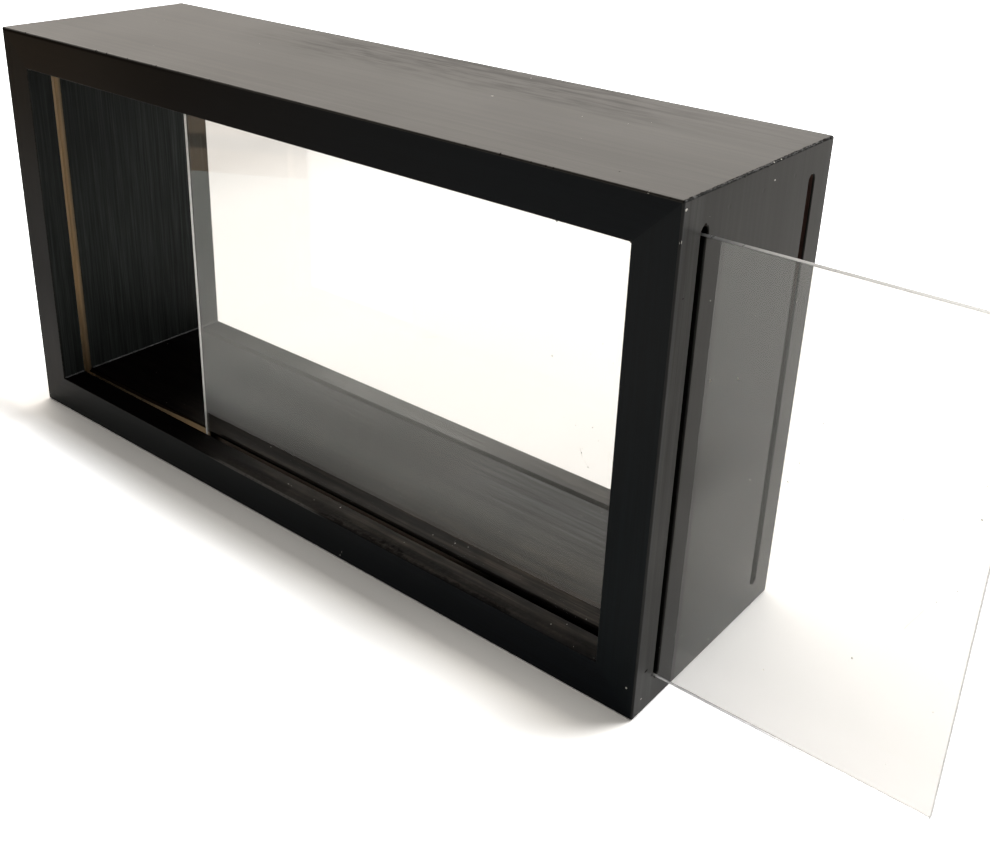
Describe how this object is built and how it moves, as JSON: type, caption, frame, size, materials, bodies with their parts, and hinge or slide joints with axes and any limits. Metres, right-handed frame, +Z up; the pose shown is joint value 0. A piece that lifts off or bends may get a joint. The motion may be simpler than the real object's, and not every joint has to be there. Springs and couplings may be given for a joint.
{
  "type": "butterfly display case",
  "caption": "Black wooden display case, open front and rear, closed by clear sheets that slide out sideways through slots in one end board.",
  "frame": {"origin": "centre of the underside of the case, with the sheets left out of account", "axes": "+X is the way the sheets slide out, towards the slotted end board; -Y is the front, where the partly drawn sheet is; +Z is up"},
  "size_m": [0.408, 0.09, 0.17],
  "materials": {
    "painted_wood": "thin black paint over open grain, satin",
    "clear_acrylic": "clear, polished faces, sawn edges",
    "brad_steel": "bright drawn wire",
    "filler": "wood filler, painted over"
  },
  "bodies": {
    "case": {"top_board": "painted_wood", "bottom_board": "painted_wood", "left_board": "painted_wood", "right_board": "painted_wood", "corner_brads": "brad_steel", "brad_fillers": "filler"},
    "front_sheet": {"front_sheet": "clear_acrylic"},
    "rear_sheet": {"rear_sheet": "clear_acrylic"}
  },
  "joints": [
    {"name": "front_sheet_slide", "type": "slide", "parent": "case", "child": "front_sheet", "axis": [1, 0, 0], "range_m": [-0.09, 0.2397]},
    {"name": "rear_sheet_slide", "type": "slide", "parent": "case", "child": "rear_sheet", "axis": [1, 0, 0], "range_m": [0, 0.3297]}
  ]
}
